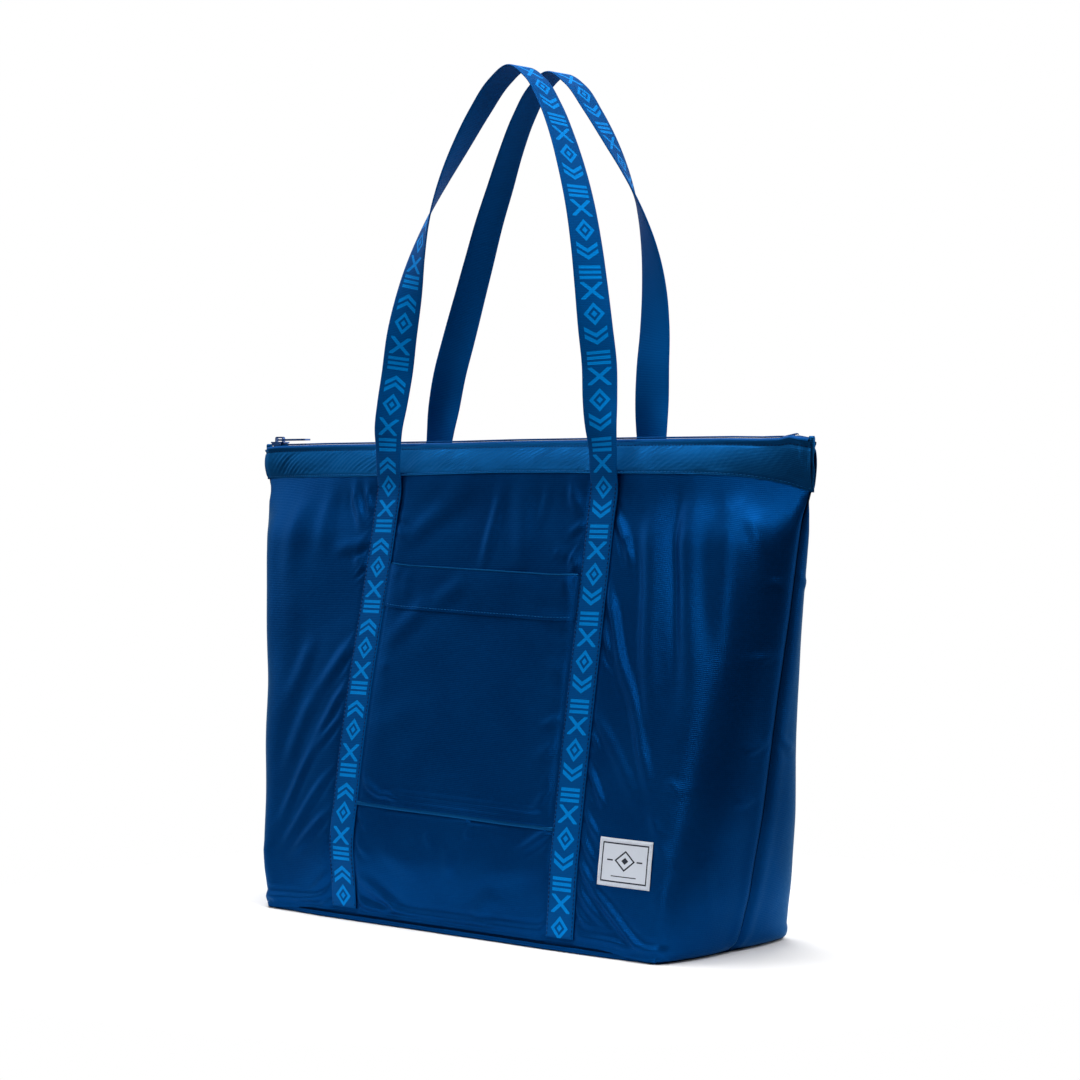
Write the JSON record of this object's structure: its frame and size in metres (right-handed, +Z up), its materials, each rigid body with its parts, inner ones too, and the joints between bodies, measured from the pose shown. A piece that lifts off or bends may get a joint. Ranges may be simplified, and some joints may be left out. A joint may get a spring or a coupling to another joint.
{
  "type": "foldable tote bag",
  "caption": "Wedge-shaped packable tote of ripstop cloth with a zipped top, a flat boxed base, a front slip pocket and webbing carrying loops.",
  "frame": {"origin": "middle of the base, on the surface that the bag stands on", "axes": "+X along the zip towards the end it opens to, -Y to the front wall with the pocket, +Z up"},
  "size_m": [0.5396, 0.1562, 0.6327],
  "materials": {
    "ripstop": "satin",
    "webbing": "woven",
    "piping": "satin",
    "binding_tape": "woven",
    "zip_tape": "woven",
    "zip_coil": "satin",
    "zip_metal": "satin lacquer",
    "label": "woven"
  },
  "bodies": {
    "bag_body": {"base_panel": "ripstop", "base_piping_left": "piping", "base_piping_right": "piping", "front_gusset_left": "ripstop", "front_gusset_right": "ripstop", "back_gusset_left": "ripstop", "back_gusset_right": "ripstop", "front_band_end_left": "ripstop", "front_band_end_right": "ripstop", "back_band_end_left": "ripstop", "back_band_end_right": "ripstop", "side_seam_binding_left": "binding_tape", "side_seam_binding_right": "binding_tape", "zip_end_tab_left": "binding_tape", "zip_end_tab_right": "binding_tape", "zip_stop": "zip_metal"},
    "front_wall": {"front_panel": "ripstop", "front_base_piping": "piping", "front_strap_left": "webbing", "front_strap_right": "webbing", "front_pocket": "ripstop", "pocket_hem": "ripstop", "pocket_base_tape": "binding_tape", "woven_label": "label"},
    "back_wall": {"back_panel": "ripstop", "back_base_piping": "piping", "back_strap_left": "webbing", "back_strap_right": "webbing"},
    "front_mouth": {"front_band": "ripstop", "front_zip_tape": "zip_tape", "front_zip_coil": "zip_coil"},
    "back_mouth": {"back_band": "ripstop", "back_zip_tape": "zip_tape", "back_zip_coil": "zip_coil"},
    "front_handle": {"front_handle_loop": "webbing"},
    "back_handle": {"back_handle_loop": "webbing"},
    "zip_slider": {"slider_body": "zip_metal"},
    "zip_pull": {"pull_frame": "zip_metal"}
  },
  "joints": [
    {"name": "front_wall_fold", "type": "hinge", "parent": "bag_body", "child": "front_wall", "pos_m": [0, -0.024, 0.332], "axis": [1, 0, 0], "range_deg": [0, 12], "deforming": ["base_panel", "front_gusset_left", "front_gusset_right"]},
    {"name": "back_wall_fold", "type": "hinge", "parent": "bag_body", "child": "back_wall", "pos_m": [0, 0.024, 0.332], "axis": [-1, 0, 0], "range_deg": [0, 12], "deforming": ["back_gusset_left", "back_gusset_right"]},
    {"name": "zip_slide", "type": "slide", "parent": "bag_body", "child": "zip_slider", "axis": [1, 0, 0], "range_m": [0, 0.49]},
    {"name": "front_mouth_open", "type": "hinge", "parent": "bag_body", "child": "front_mouth", "pos_m": [0, -0.024, 0.332], "axis": [1, 0, 0], "range_deg": [0, 40], "deforming": ["front_band_end_left", "front_band_end_right", "front_zip_tape", "front_zip_coil"]},
    {"name": "back_mouth_open", "type": "hinge", "parent": "bag_body", "child": "back_mouth", "pos_m": [0, 0.024, 0.332], "axis": [-1, 0, 0], "range_deg": [0, 40], "deforming": ["back_band_end_left", "back_band_end_right", "back_zip_tape", "back_zip_coil"]},
    {"name": "pull_flip", "type": "hinge", "parent": "zip_slider", "child": "zip_pull", "pos_m": [-0.254, 0, 0.35985], "axis": [0, -1, 0], "range_deg": [0, 170]},
    {"name": "front_handle_swing", "type": "hinge", "parent": "front_wall", "child": "front_handle", "pos_m": [0, -0.0272, 0.3325], "axis": [1, 0, 0], "range_deg": [0, 165]},
    {"name": "back_handle_swing", "type": "hinge", "parent": "back_wall", "child": "back_handle", "pos_m": [0, 0.0272, 0.3325], "axis": [-1, 0, 0], "range_deg": [-3, 150]}
  ],
  "couplings": [
    {"joint": "back_wall_fold", "follows": "front_wall_fold", "ratio": 1},
    {"joint": "front_mouth_open", "follows": "zip_slide", "rad_per_m": 1.4247},
    {"joint": "back_mouth_open", "follows": "zip_slide", "rad_per_m": 1.4247}
  ]
}
